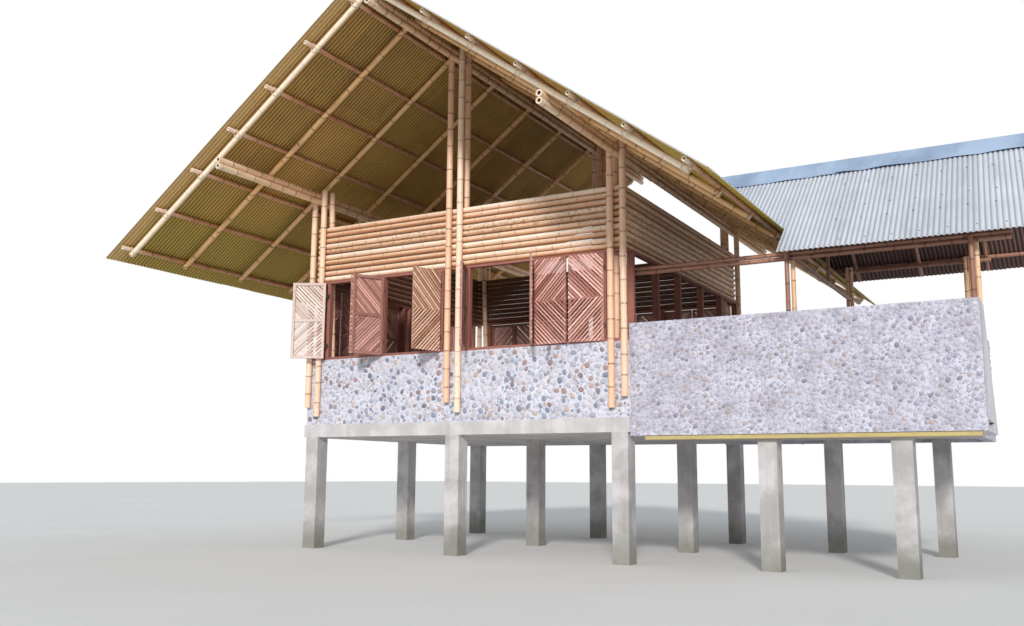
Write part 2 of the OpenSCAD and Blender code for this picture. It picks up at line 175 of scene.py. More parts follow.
ground = bpy.data.meshes.new("ground")
ground.from_pydata([(-90, -60, 0), (110, -60, 0), (110, 140, 0), (-90, 140, 0)], [], [(0, 1, 2, 3)])
floor = bpy.data.objects.new("ground", ground)
bpy.context.collection.objects.link(floor)
paint = Paint("pale_floor")
place = paint.node("TexCoord", None, None, 3)
grey = paint.ramp(paint.noise(place, 0.35, 3.0), (0.3, (0.74, 0.735, 0.72)), (0.7, (0.78, 0.775, 0.76)))
ground.materials.append(paint.surface(grey, 0.9))

world = bpy.data.worlds.new("sky")
world.use_nodes = True
bpy.context.scene.world = world
sky = Paint("sky", world.node_tree)
seen = sky.node("LightPath", None, None, 0)
shine = sky.node("LightPath", None, None, 3)
glow = sky.node("Background", None, {0: (0.86, 0.93, 1.0, 1.0), 1: 0.5})
white = sky.node("Background", None, {0: (1.0, 1.0, 1.0, 1.0), 1: 1.0})
both = sky.node("MixShader", None, {0: sky.math("MAXIMUM", seen, shine * 0.4), 1: glow, 2: white})
sky.node("OutputWorld", None, {0: both})

for name, power, spread, heading, warmth in (
    ("daylight", 2.6, 8, (-0.37, 0.85, -0.38), (1.0, 0.97, 0.94)),
    ("fill", 0.35, 60, (0.5, 0.6, -0.6), (0.9, 0.96, 1.0)),
):
    lamp = bpy.data.lights.new(name, "SUN")
    lamp.energy = power
    lamp.angle = math.radians(spread)
    lamp.color = warmth
    holder = bpy.data.objects.new(name, lamp)
    holder.rotation_euler = Vector(heading).to_track_quat("-Z", "Y").to_euler()
    bpy.context.collection.objects.link(holder)


# Floor slabs and columns. Poured concrete, left bare from the formwork: board marks on the
# slab's edge, pale lime bloom, and darker, greener damp at the foot of each column.
def concrete(name, light, dark):
    paint = Paint(name)
    place = paint.node("TexCoord", None, None, 3)
    height = paint.node("SeparateXYZ", None, {0: place}, 2)
    cloud = paint.noise(place, 1.7, 6.0, 0.6)
    grit = paint.noise(place, 46.0, 4.0, 0.7)
    streak = paint.noise(paint.stretch(place, (7.0, 7.0, 0.5)), 1.6, 4.0)
    marks = paint.noise(paint.stretch(place, (0.3, 0.3, 9.0)), 2.2, 2.0)
    foot = paint.noise(place, 3.0, 4.0) * 0.5 - height
    colour = paint.coats(
        paint.mix(paint.step(cloud, 0.38, 0.66), dark, light),
        ((0.3, 0.28, 0.25), streak, 0.52, 0.75, 0.35),
        ((0.17, 0.17, 0.13), foot, -0.35, 0.15, 0.7),
        ((0.2, 0.19, 0.18), grit, 0.62, 0.8, 0.3))
    return paint.surface(colour, 0.88, 0.0, grit * 0.5 + marks + cloud, 0.004, 0.5)


def coat(node, material):
    """Gives its material to a piece that keeps the solid's shape."""
    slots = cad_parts[node].data.materials
    slots.clear()
    slots.append(material)


for kind, light, dark in (
    ("slab", (0.66, 0.64, 0.64), (0.5, 0.48, 0.48)),
    ("columns", (0.62, 0.6, 0.6), (0.4, 0.385, 0.38)),
):
    for part in ("main_", "terrace_"):
        coat(part + kind, concrete(part + kind, light, dark))


# Pebble walls. Each is a thin concrete wall with river pebbles pressed into pale pink-white
# mortar on its outer face; the stones stand out by a few millimetres.
def mortar(name, light=(0.7, 0.71, 0.8), dark=(0.58, 0.58, 0.67), chips=26.0, share=0.35):
    """chips is how many small stones lie on a metre, share how many of them show"""
    paint = Paint(name)
    place = paint.node("TexCoord", None, None, 3)
    cloud = paint.noise(place, 2.3, 6.0, 0.6)
    grit = paint.noise(place, 75.0, 3.0, 0.7)
    trowel = paint.noise(place, 12.0, 3.0)
    colour = paint.mix(paint.step(cloud + trowel * 0.3, 0.45, 0.85), dark, light)
    colour = paint.mix(paint.step(grit, 0.6, 0.8) * 0.35, colour, (0.36, 0.33, 0.34))
    scale = {"Vector": place, "Scale": chips}
    edge = paint.node("TexVoronoi", {"feature": "DISTANCE_TO_EDGE"}, scale)
    cell = paint.node("SeparateColor", None, {0: paint.node("TexVoronoi", None, scale, 1)})
    shown = paint.step(edge, 0.06, 0.16) * (cell < share)
    chip = paint.ramp(cell / share, (0.0, (0.6, 0.58, 0.64)), (0.5, (0.46, 0.45, 0.51)),
                      (0.8, (0.33, 0.34, 0.41)), (0.95, (0.44, 0.33, 0.31)))
    colour = paint.mix(shown * 0.75, colour, chip)
    return paint.surface(colour, 0.92, 0.0, grit * 0.4 + trowel * 1.2 + shown * 1.6, 0.006, 0.7)


def stone(name, *stops):
    paint = Paint(name)
    grain = paint.attribute("grain")
    kind = paint.attribute("marks", 0)
    tone = paint.attribute("marks", 1)
    fine = paint.noise(grain, 34.0, 5.0, 0.65)
    vein = paint.noise(paint.stretch(grain, (3.0, 14.0, 6.0)), 9.0, 3.0)
    colour = paint.coats(
        paint.ramp(kind, *stops),
        ((0.66, 0.63, 0.66), fine, 0.35, 0.75, 0.35),
        ((0.74, 0.71, 0.74), vein, 0.6, 0.72, 0.25))
    colour = paint.mix(tone * 0.35, colour, (0.22, 0.2, 0.23))
    return paint.surface(colour, 0.62, 0.0, fine, 0.002, 0.5)


def piece(name, bag, materials, replaced=(), angle=40):
    """Makes one object of the collected points and faces and hangs it on the house. Edges that
    bend by more than angle stay sharp."""
    mesh = bpy.data.meshes.new(name)
    points = np.concatenate(bag["points"])
    faces = [f for part in bag["faces"] for f in part]
    mesh.from_pydata(points.tolist(), [], faces)
    for key in ("grain", "marks"):
        layer = mesh.attributes.new(key, "FLOAT_VECTOR", "POINT")
        layer.data.foreach_set("vector", np.concatenate(bag[key]).astype(np.float32).ravel())
    for material in materials:
        mesh.materials.append(material)
    if bag["kinds"]:
        mesh.polygons.foreach_set("material_index", np.concatenate(bag["kinds"]).astype(np.int32))
    mesh.polygons.foreach_set("use_smooth", [True] * len(mesh.polygons))
    mesh.set_sharp_from_angle(angle=math.radians(angle))
    mesh.update()
    made = bpy.data.objects.new(name, mesh)
    bpy.context.collection.objects.link(made)
    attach(made, "root")
    if replaced:
        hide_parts(*replaced)
    return made


def new_bag():
    return {"points": [], "faces": [], "grain": [], "marks": [], "kinds": [], "count": 0}


def put(bag, points, faces, grain, marks, kind=None):
    """Adds points and faces to a bag; marks is one triple for all points or one each."""
    points = np.asarray(points, float)
    start = bag["count"]
    bag["points"].append(points)
    bag["faces"].append([tuple(start + i for i in f) for f in faces])
    bag["grain"].append(np.asarray(grain, float))
    marks = np.asarray(marks, float)
    bag["marks"].append(np.tile(marks, (len(points), 1)) if marks.ndim == 1 else marks)
    if kind is not None:
        bag["kinds"].append(np.full(len(faces), kind))
    bag["count"] += len(points)


def sleeve(rows, turns):
    """Faces of a tube of closed rings, one ring after the other."""
    return [(r * turns + i, r * turns + (i + 1) % turns,
             (r + 1) * turns + (i + 1) % turns, (r + 1) * turns + i)
            for r in range(rows - 1) for i in range(turns)]


def pebbles(name, corner, along, wide, tall, seed, small, big, paint, keep_out, slant):
    """Stones on the upright face that starts at corner. The largest are set first, and none
    overlap. keep_out lists strips without stones, slant is how most stones lie, 0 for any way."""
    rng = random.Random(seed)
    corner, along, up = Vector(corner), Vector(along), Vector((0, 0, 1))
    out = along.cross(up)
    tries_a_metre = 1500
    count = int(wide * tall * tries_a_metre)
    sizes = sorted((small + (big - small) * rng.random() ** 1.5 for _ in range(count)), reverse=True)
    placed = np.zeros((count, 3))
    rows = []
    for size in sizes:
        u, v = rng.uniform(size * 0.8, wide - size * 0.8), rng.uniform(size * 0.7, tall - size * 0.7)
        if any(a < u < b and c < v < d for a, b, c, d in keep_out):
            continue
        room = size * 0.76
        taken = placed[:len(rows)]
        free = np.hypot(taken[:, 0] - u, taken[:, 1] - v) - taken[:, 2] - room
        if len(rows) and free.min() < 0.001:
            continue
        placed[len(rows)] = (u, v, room)
        rows.append((u, v, size))
    turns = 7
    spin = np.arange(turns) * 2 * math.pi / turns
    large = big > 0.045
    levels = ((1.02, -0.35), (0.84, 0.62), (0.45, 0.95)) if large else ((1.02, -0.3), (0.7, 0.8))
    least, most = (0.2, 0.34) if large else (0.28, 0.46)
    last = len(levels) - 1
    faces = sleeve(len(levels), turns)
    faces += [(last * turns + i, last * turns + (i + 1) % turns, (last + 1) * turns) for i in range(turns)]
    bag = new_bag()
    for u, v, size in rows:
        a, b = size * 0.95, size * rng.uniform(0.62, 0.88)
        h = size * rng.uniform(least, most)
        turn = slant + rng.gauss(0, 0.4) if slant else rng.uniform(0, math.pi)
        wob = [rng.uniform(0.8, 1.1) for _ in range(turns)]
        local = [(math.cos(t) * a * reach * w, math.sin(t) * b * reach * w, h * rise)
                 for reach, rise in levels for t, w in zip(spin, wob)]
        local = np.array(local + [(0, 0, h)])
        c, s = math.cos(turn), math.sin(turn)
        pu = u + local[:, 0] * c - local[:, 1] * s
        pv = v + local[:, 0] * s + local[:, 1] * c
        points = np.array(corner) + np.outer(pu, along) + np.outer(pv, up) + np.outer(local[:, 2], out)
        drift = np.array([rng.uniform(-9, 9) for _ in range(3)])
        put(bag, points, faces, local * 4 + drift, (rng.random(), rng.random(), 0))
    piece(name, bag, [paint], angle=70)


river = stone(
    "river_pebble", (0.0, (0.7, 0.7, 0.78)), (0.3, (0.56, 0.56, 0.64)), (0.44, (0.66, 0.61, 0.63)),
    (0.56, (0.44, 0.46, 0.55)), (0.66, (0.24, 0.29, 0.4)), (0.8, (0.15, 0.19, 0.28)),
    (0.85, (0.6, 0.47, 0.36)), (0.9, (0.5, 0.32, 0.27)), (0.95, (0.3, 0.16, 0.15)), (0.98, (0.1, 0.12, 0.17)))
gravel = stone(
    "parapet_gravel", (0.0, (0.66, 0.64, 0.73)), (0.3, (0.57, 0.55, 0.64)), (0.6, (0.46, 0.44, 0.53)),
    (0.78, (0.33, 0.33, 0.42)), (0.9, (0.52, 0.4, 0.37)), (0.96, (0.24, 0.22, 0.29)))
wall_paint = mortar("mortar")
rough_wall = mortar("parapet_mortar", (0.67, 0.67, 0.77), (0.43, 0.42, 0.5), 34.0, 0.55)
plaster = mortar("corner_plaster", (0.76, 0.74, 0.78), (0.62, 0.6, 0.64), share=0.02)
for node in ("front_dado", "rear_dado", "left_dado", "right_dado_front", "right_dado_rear"):
    coat(node, wall_paint)
for node in ("front_parapet", "right_parapet", "rear_parapet"):
    coat(node, rough_wall)
coat("corner_wall", plaster)

wall_left, wall_right, wall_rear, wall_t = -0.15, 5.55, 5.2, 0.12
floor_z, sill_z = 1.95, 3.0
parapet_x, parapet_rear, parapet_foot = 9.69, 4.2, 1.7
left_x, middle_x, right_x, post_off = 0.0, 2.7, 5.4, 0.0978
post_x = [x + side * post_off - wall_left for x in (left_x, middle_x, right_x) for side in (-1, 1)]
post_strips = [(x - 0.042, x + 0.042, 0.2, 1.2) for x in post_x]
dado = (1.05, 0.018, 0.056, river, 0.0)
parapet = (1.53, 0.013, 0.042, gravel, 0.6)
covered = [(-0.1, 1.45, -0.1, 1.6)]
for seed, (name, corner, along, wide, wall, keep_out) in enumerate((
    ("front", (wall_left, 0.0, floor_z), (1, 0, 0), 5.7, dado, post_strips),
    ("rear", (wall_right, wall_rear, floor_z), (-1, 0, 0), 5.7, dado, post_strips),
    ("left", (wall_left, wall_rear, floor_z), (0, -1, 0), 5.2, dado, ()),
    ("right_front", (wall_right, wall_t, floor_z), (0, 1, 0), 1.98, dado, ()),
    ("right_rear", (wall_right, 3.1, floor_z), (0, 1, 0), 2.1, dado, ()),
    ("parapet_front", (wall_right, 0.0, parapet_foot), (1, 0, 0), 4.36, parapet, ()),
    ("parapet_right", (parapet_x, wall_t, parapet_foot), (0, 1, 0), 4.08, parapet, covered),
    ("parapet_rear", (parapet_x, parapet_rear, parapet_foot), (-1, 0, 0), 4.14, parapet, ()),
), 1):
    tall, small, big, paint, slant = wall
    pebbles(name + "_pebbles", corner, along, wide, tall, seed, small, big, paint, keep_out, slant)


# Walls of level culms. Bands of bamboo culms laid one on the other over the windows, round poles
# as they grow: a raised ring with a dark scar every hand or two, a little taper and bow, fine
# streaks and mould specks, and hollow, paler cut ends.
def tinted(colour, red, green, blue):
    return (colour[0] * red, colour[1] * green, colour[2] * blue)


def bamboo(name, light, dark, ring_colour=(0.15, 0.07, 0.045), specks=0.5, spread=0.0, rings=0.85):
    """specks is how dark the mould is, spread how much of the culm it takes, rings how dark the
    scars at the joints are"""
    paint = Paint(name)
    grain = paint.attribute("grain")
    ring = paint.attribute("marks", 0)
    tone = paint.attribute("marks", 1)
    cut = paint.attribute("marks", 2)
    streak = paint.noise(paint.stretch(grain, (60.0, 60.0, 2.2)), 1.3, 5.0, 0.6)
    blotch = paint.noise(paint.stretch(grain, (7.0, 7.0, 2.4)), 1.1, 4.0)
    speck = paint.noise(paint.stretch(grain, (46.0, 46.0, 16.0)), 1.0, 3.0, 0.5)
    patch = paint.noise(paint.stretch(grain, (3.0, 3.0, 1.3)), 1.0, 2.0)
    broken = paint.step(paint.noise(paint.stretch(grain, (30.0, 30.0, 6.0)), 1.0, 2.0), 0.35, 0.62)
    bleach_and_top_light = paint.step(tone, 0.8, 1.15)
    stain = tinted(dark, 0.58, 0.5, 0.44)
    colour = paint.coats(
        paint.mix(paint.clamp(tone * 0.75 + blotch * 0.6 - 0.17), dark, light),
        (stain, streak, 0.5, 0.8, 0.4 - bleach_and_top_light * 0.25),
        ((1.0, 0.84, 0.66), streak, 0.5, 0.25, 0.2),
        # Darker where tone is low: random darker culms, and painted shade on the undersides of level culms
        # and on the walls' inner sides.
        (stain, tone, 0.05, -0.55, 0.9),
        ((0.09, 0.045, 0.035), tone, -0.4, -1.4, 0.85),
        # Near white where tone is highest: bleached ends and outermost rafters, and a painted highlight on
        # the upper side of level culms.
        ((1.0, 0.94, 0.86), tone, 0.85, 1.5, 0.55))
    mould = paint.step(patch, 0.4 - spread * 2, 0.62 - spread * 2) * specks
    dots = paint.step(speck, 0.63 - spread, 0.7 - spread) * mould
    colour = paint.mix(dots, colour, (0.24, 0.12, 0.07))
    scar = ring * (broken * 0.6 + 0.4) * rings * (1.0 - bleach_and_top_light * 0.7)
    colour = paint.coats(
        paint.mix(paint.clamp(scar), colour, ring_colour),
        ((0.8, 0.66, 0.52), cut, 0.2, 0.6, 1.0),
        # Painted shade: the inside of the hollow ends is painted dark brown.
        ((0.16, 0.09, 0.05), cut, 1.2, 1.8, 1.0))
    return paint.surface(colour, 0.44 + dots * 0.3 + cut * 0.2, 0.0, streak, 0.0015, 0.35)


def square_to(axis):
    """Two directions square to an axis and to each other."""
    side = np.cross(axis, (0, 0, 1) if abs(axis[2]) < 0.9 else (1, 0, 0))
    side /= np.linalg.norm(side)
    return side, np.cross(axis, side)


def culms_of(node):
    """Start, end and width of every culm of a CAD node."""
    found = []
    work = bmesh.new()
    work.from_mesh(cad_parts[node].data)
    bmesh.ops.remove_doubles(work, verts=work.verts, dist=0.00002)
    seen_points = set()
    for first in work.verts:
        if first in seen_points:
            continue
        island, waiting = [], [first]
        seen_points.add(first)
        while waiting:
            point = waiting.pop()
            island.append(point.co[:])
            for edge in point.link_edges:
                other = edge.other_vert(point)
                if other not in seen_points:
                    seen_points.add(other)
                    waiting.append(other)
        spots = np.array(island)
        spread = spots - spots.mean(0)
        axis = np.linalg.eigh(spread.T @ spread)[1][:, 2]
        for unit in np.eye(3):
            if abs(axis @ unit) > 0.9999:
                axis = unit
        axis = axis * (1 if axis[np.argmax(np.abs(axis))] > 0 else -1)
        side, third = square_to(axis)
        reach = spots @ np.array([axis, side, third]).T
        low, high = reach.min(0), reach.max(0)
        middle = side * (low[1] + high[1]) / 2 + third * (low[2] + high[2]) / 2
        found.append((axis * low[0] + middle, axis * high[0] + middle, float(high[1] - low[1])))
    work.free()
    return sorted(found, key=lambda one: tuple(np.round(one[0], 3)))


def lathe(bag, origin, axes, profile, tone, drift, bow=None, turns=12, kind=None, age=0.0, smoke=(0, 0, 0)):
    """Turns a profile of (along, radius, ring, cut) rows round a line; the line may bow. age
    is painted light and shade: how much paler the upper side and darker the underside are; smoke points to
    the side painted dark as shade."""
    along, side, third = axes
    rows = np.array(profile)
    spin = np.arange(turns) * 2 * math.pi / turns
    ring = np.outer(np.cos(spin), side) + np.outer(np.sin(spin), third)
    points = origin + rows[:, None, 0:1] * along + rows[:, None, 1:2] * ring[None]
    if bow is not None:
        points = points + bow(rows[:, 0])[:, None, :]
    grain = np.empty_like(points)
    grain[..., 0] = rows[:, None, 1] * np.cos(spin)[None] + drift
    grain[..., 1] = rows[:, None, 1] * np.sin(spin)[None] - drift
    grain[..., 2] = rows[:, None, 0] + drift * 3
    marks = np.empty_like(points)
    marks[..., 0] = rows[:, None, 2]
    # Painted light and shade: the upper side of a level culm is painted paler and its underside darker.
    marks[..., 1] = np.reshape(tone(rows[:, 0]) if callable(tone) else tone, (-1, 1)) + age * ring[:, 2]
    # Painted shade: the side of a culm that faces into the house is painted much darker.
    marks[..., 1] -= 2.4 * np.clip(ring @ np.array(smoke, float) + 0.15, 0, 1) * np.any(smoke)
    marks[..., 2] = rows[:, None, 3]
    points, grain, marks = (v.reshape(-1, 3) for v in (points, grain, marks))
    put(bag, points, sleeve(len(rows), turns), grain, marks, kind)


def culm(bag, start, end, width, rng, tone=None, bend=0.002, shrink=0.03, gaps=(0.26, 0.38),
         bleach=(0.0, 1.0), kind=0, snug=0.985, age=0.0, smoke=(0, 0, 0)):
    """gaps is the least and greatest distance of the joints, bleach how much paler the two ends
    are and how far that reaches in, snug the share of the width that the wood fills."""
    joint = ((-0.013, 1.0, 0.0), (-0.007, 1.022, 0.75), (0.0, 0.99, 1.0), (0.008, 1.03, 0.75),
             (0.02, 1.0, 0.0))
    start, end = np.asarray(start, float), np.asarray(end, float)
    length = float(np.linalg.norm(end - start))
    along = (end - start) / length
    side, third = square_to(along)
    tone = rng.random() if tone is None else tone
    thick, thin = (1.0, 1.0 - shrink) if rng.random() < 0.5 else (1.0 - shrink, 1.0)
    radius = width / 2 * snug

    def wide(s):
        return radius * (thick + (thin - thick) * s / length)

    turn = rng.uniform(0, 2 * math.pi)
    swing = (side * math.cos(turn) + third * math.sin(turn)) * bend

    def bow(s):
        return np.outer(np.sin(np.clip(s / length, 0, 1) * math.pi), swing)

    def paler(s):
        return tone + bleach[0] * (np.exp(-(s / bleach[1]) ** 2) + np.exp(-((length - s) / bleach[1]) ** 2))

    wall, deep = 0.02, min(0.16, length * 0.2)
    inner0, inner1 = wide(0) - wall, wide(length) - wall
    outer = [(0.0, wide(0) * 0.995, 0.0, 0.0)]
    s = rng.uniform(0.06, 0.3)
    while s < length - 0.05:
        outer += [(s + step, wide(s) * swell, ring, 0.0) for step, swell, ring in joint]
        s += rng.uniform(*gaps)
    outer.append((length, wide(length) * 0.995, 0.0, 0.0))
    drift = rng.uniform(-40, 40)
    for profile in (
        [(deep, 0.001, 0, 2), (deep, inner0, 0, 2), (0.02, inner0, 0, 1.6), (0.0, inner0, 0, 1)],
        [(0.0, inner0, 0, 1), (0.0, outer[0][1], 0, 1)],
        outer,
        [(length, outer[-1][1], 0, 1), (length, inner1, 0, 1)],
        [(length, inner1, 0, 1), (length - 0.02, inner1, 0, 1.6),
         (length - deep, inner1, 0, 2), (length - deep, 0.001, 0, 2)],
    ):
        lathe(bag, start, (along, side, third), profile, paler, drift, bow, 12, kind, age, smoke)


def culm_piece(node, paints, seed, slot="bamboo", tones=None, kinds=(), **how):
    """kinds lists the culms, counted from the lowest, that take the second paint"""
    rng = random.Random(seed)
    bag = new_bag()
    for i, (start, end, width) in enumerate(culms_of(node)):
        culm(bag, start, end, width, rng, tones(i) if tones else None, kind=int(i in kinds), **how)
    piece(node + "_culms", bag, paints, (node,), 50)


straw = bamboo("straw_bamboo", (1.0, 0.84, 0.66), (0.68, 0.34, 0.17), (0.36, 0.18, 0.11), rings=0.6)
mouldy = bamboo("mouldy_bamboo", (0.97, 0.76, 0.57), (0.66, 0.37, 0.2), (0.32, 0.16, 0.1), 0.6, 0.09, 0.6)
for i, (side, inward, shrink, snug) in enumerate((
    ("front_left", (0, 1, 0), 0.02, 0.95),
    ("front_right", (0, 1, 0), 0.02, 0.95),
    ("rear", (0, -1, 0), 0.006, 0.992),
    ("left", (1, 0, 0), 0.006, 0.992),
    ("right", (-1, 0, 0), 0.01, 0.97),
)):
    # Painted light and shade: the walls' culms are painted paler on top, darker below, and dark on the side
    # that faces into the house.
    culm_piece(side + "_band", [straw, mouldy], 20 + i, kinds=(5, 6), bend=0.001, shrink=shrink,
               snug=snug, age=0.9, smoke=inward)

# Posts. Bundles of three tall culms at each end and in the middle of the gable walls, the rings
# dark against paler wood, clamping the long plates between them.
post_paint = bamboo("post_bamboo", (1.0, 0.76, 0.56), (0.85, 0.52, 0.34), (0.13, 0.055, 0.04), 0.7)
for i, node in enumerate(("front_left_posts", "front_middle_posts", "front_right_posts", "rear_posts")):
    culm_piece(node, [post_paint], 30 + i)

# Plates and ridge. Two long culms lie one on the other between the post bundles and reach out
# to the last rafter in front.
beam_paint = bamboo("beam_bamboo", (1.0, 0.82, 0.6), (0.82, 0.46, 0.22), (0.12, 0.055, 0.035), 0.6)
for i, node in enumerate(("left_plate", "right_plate", "ridge_beam")):
    culm_piece(node, [beam_paint], 40 + i, tones=lambda n: 0.4 - 0.2 * (n % 2), bleach=(0.6, 0.7), age=0.1)

# Rafters. One culm for each, from the ridge down to near the eave, laid on the plates. The
# outermost pairs are bleached almost white by the sun.
rafter_paint = bamboo("rafter_bamboo", (0.98, 0.77, 0.52), (0.88, 0.51, 0.21), (0.12, 0.055, 0.03), 0.7)
for i, node in enumerate(("left_rafters", "right_rafters")):
    culm_piece(node, [rafter_paint], 50 + i, tones=lambda n: 1.25 if n in (0, 8) else 0.07 * (n % 3) - 0.02,
               bend=0.003, gaps=(0.3, 0.5), age=0.1)

# Purlins. Slimmer brown culms laid level over the rafters, paler at their free ends; the sheets
# are nailed to them.
purlin_paint = bamboo("purlin_bamboo", (0.94, 0.7, 0.54), (0.53, 0.23, 0.1), (0.12, 0.05, 0.035), 0.7)
for i, node in enumerate(("left_purlins", "right_purlins")):
    culm_piece(node, [purlin_paint], 60 + i, "dark_bamboo", lambda n: 0.04 * (n % 4) - 0.04, bend=0.004,
               gaps=(0.3, 0.46), bleach=(1.3, 0.24))

# Ties. Each purlin is lashed to each rafter below it: crossed turns of pale cord at the outermost
# rafters, thin dark wire further in. The turns pass under the rafter and up beside the purlin.
def tie(bag, centre, along, across, normal, below, above, thick, strands, rng):
    """centre is where the two culms touch, along and across are their ways, below and above
    their radii; strands cords of this thickness lie side by side."""
    steps, sides = 15, 5
    flat = (along + across) / math.sqrt(2)
    shift = (along - across) / math.sqrt(2)
    for k in range(strands):
        offset = shift * (k - (strands - 1) / 2) * thick * 2.2
        path = []
        for step in range(steps):
            turn = math.radians(135 + 270 * step / (steps - 1))
            radius, lift = (below, -below) if math.sin(turn) < 0 else (above, above)
            path.append(centre + offset + flat * math.cos(turn) * (radius * 1.42 + thick)
                        + normal * (lift + math.sin(turn) * (radius + thick)))
        path = np.array(path) + np.array([[rng.uniform(-0.001, 0.001) for _ in range(3)] for _ in path])
        heading = np.gradient(path, axis=0)
        heading /= np.linalg.norm(heading, axis=1)[:, None]
        side = np.cross(heading, shift)
        spin = np.arange(sides) * 2 * math.pi / sides
        ring = np.cos(spin)[None, :, None] * side[:, None] + np.sin(spin)[None, :, None] * shift
        points = (path[:, None] + ring * thick / 2).reshape(-1, 3)
        put(bag, points, sleeve(steps, sides), points * 20, (0, rng.random(), 0))


def tie_paint(name, light, dark):
    paint = Paint(name)
    tone = paint.noise(paint.attribute("grain"), 2.0, 3.0)
    return paint.surface(paint.mix(paint.step(tone, 0.3, 0.7), dark, light), 0.8)


cord = tie_paint("pale_cord", (0.86, 0.76, 0.62), (0.66, 0.54, 0.4))
wire = tie_paint("dark_wire", (0.14, 0.08, 0.06), (0.06, 0.04, 0.03))
rise, run = math.sin(math.radians(36)), math.cos(math.radians(36))
level = np.array((0.0, 1.0, 0.0))
rng = random.Random(65)
for name, sign in (("left", 1), ("right", -1)):
    along, normal = np.array((sign * run, 0.0, rise)), np.array((-sign * rise, 0.0, run))
    rafters, purlins = culms_of(name + "_rafters"), culms_of(name + "_purlins")
    outer, inner = new_bag(), new_bag()
    for n, (low, high, thick) in enumerate(rafters):
        for start, end, width in purlins:
            centre = np.array((start[0], low[1], start[2])) - normal * (width / 2 + 0.0002)
            if n in (0, len(rafters) - 1):
                tie(outer, centre, along, level, normal, thick / 2, width / 2, 0.006, 3, rng)
                tie(outer, centre, along, -level, normal, thick / 2, width / 2, 0.006, 3, rng)
            else:
                tie(inner, centre, along, level, normal, thick / 2, width / 2, 0.004, 2, rng)
    piece(name + "_cord_ties", outer, [cord], angle=70)
    piece(name + "_wire_ties", inner, [wire], angle=70)

# Terrace roof frame. Posts, plates, rafters and purlins with the gable's joints, in thinner
# culms. The wood is painted darker than the gable's, as painted shade under the terrace roof, but
# most of the posts are pale; two of their culms are painted dark as shade.
# Painted shade: the terrace frame's culms are painted dark, as if in the roof's shade.
dark_paint = bamboo("terrace_bamboo_painted_shade", (0.52, 0.27, 0.18), (0.26, 0.11, 0.07), (0.07, 0.03, 0.02), 0.6)
# Painted shade: two of the posts' culms take the dark paint, as shaded copies of the pale posts.
culm_piece("terrace_posts", [beam_paint, dark_paint], 70, kinds=(1, 6), tones=lambda n: 0.1 + 0.1 * (n % 2))
culm_piece("terrace_plates", [dark_paint], 71)
culm_piece("terrace_frame", [dark_paint], 72)
culm_piece("terrace_rafters", [dark_paint], 73)
culm_piece("terrace_purlins", [dark_paint], 74, slot="dark_bamboo")


# Roof sheets. Corrugated galvanized sheets in lapped rows, silvery grey and a little dirty on top,
# with painted shade in the valleys; underneath they are stained olive and ochre by dust and smoke,
# with painted shade and dirt in the troughs, and painted sunlight makes them more golden at the verge.
def zinc_top():
    paint = Paint("weathered_zinc")
    grain = paint.attribute("grain")
    crest = paint.attribute("marks", 0)
    tone = paint.attribute("marks", 1)
    cloud = paint.noise(grain, 0.9, 6.0, 0.65)
    runs = paint.noise(paint.stretch(grain, (9.0, 0.6, 1.0)), 1.2, 4.0)
    spangle = paint.noise(grain, 55.0, 2.0)
    rust = paint.noise(grain, 2.6, 6.0, 0.7)
    colour = paint.coats(
        paint.mix(paint.clamp(cloud * 1.4 + tone * 0.35 - 0.35), (0.5, 0.53, 0.58), (0.77, 0.81, 0.87)),
        ((0.36, 0.36, 0.36), runs, 0.5, 0.72, 0.3),
        ((0.75, 0.78, 0.82), spangle, 0.58, 0.75, 0.15),
        # Painted shade: the top is painted darker in the valleys of the waves.
        ((0.26, 0.26, 0.3), crest, 0.45, 0.05, 0.72),
        ((0.27, 0.16, 0.09), rust, 0.68, 0.78, 0.4))
    return paint.surface(colour, 0.5 + cloud * 0.2, 0.25, spangle, 0.001, 0.15)


def zinc_under(name, dark, light):
    paint = Paint(name)
    grain = paint.attribute("grain")
    crest = paint.attribute("marks", 0)
    tone = paint.attribute("marks", 1)
    painted_verge_light = paint.attribute("marks", 2)
    cloud = paint.noise(grain, 1.1, 6.0, 0.6)
    runs = paint.noise(paint.stretch(grain, (14.0, 1.0, 1.0)), 1.3, 4.0)
    height = paint.node("SeparateXYZ", None, {0: paint.node("TexCoord", None, None, 3)}, 2)
    painted_verge_glow = paint.clamp(painted_verge_light)
    colour = paint.coats(
        paint.mix(paint.clamp(cloud * 1.5 + tone * 0.5 - 0.5), dark, light),
        (tinted(light, 0.7, 0.9, 0.55), height + cloud * 0.8, 6.5, 5.2, 0.8))
    # Painted sunlight: the underside is painted golden near the verge, and palest cream right at its edge.
    colour = paint.coats(
        paint.mix(painted_verge_glow * 0.9, colour, (0.74, 0.5, 0.2)),
        (tinted(dark, 0.6, 0.6, 0.7), runs, 0.5, 0.75, 0.3),
        # Painted shade and dirt: the underside is painted darker in the troughs, the recesses seen from
        # below.
        (tinted(dark, 0.28, 0.22, 0.4), crest, 0.55, 0.9, 0.8 - painted_verge_glow * 0.35),
        ((0.85, 0.76, 0.5), painted_verge_light, 1.2, 1.7, 1.0))
    return paint.surface(colour, 0.6, 0.0, runs, 0.001, 0.2)


top_paint = zinc_top()
under_paint = zinc_under("stained_underside", (0.37, 0.228, 0.048), (0.66, 0.392, 0.085))
# Painted shade: the terrace roof's underside is painted dark, as if in shade.
shade_paint = zinc_under("terrace_underside_painted_shade", (0.12, 0.055, 0.07), (0.22, 0.1, 0.115))
wave_p, wave_h = 0.0635, 0.016


def net(rows, steps):
    """Faces of a sheet of points, row after row."""
    return [(j * steps + i, j * steps + i + 1, (j + 1) * steps + i + 1, (j + 1) * steps + i)
            for j in range(rows - 1) for i in range(steps - 1)]


def skyward(along, up):
    """The direction square to a slope, on its upper side."""
    out = np.cross(along, up)
    return out if out[2] > 0 else -out


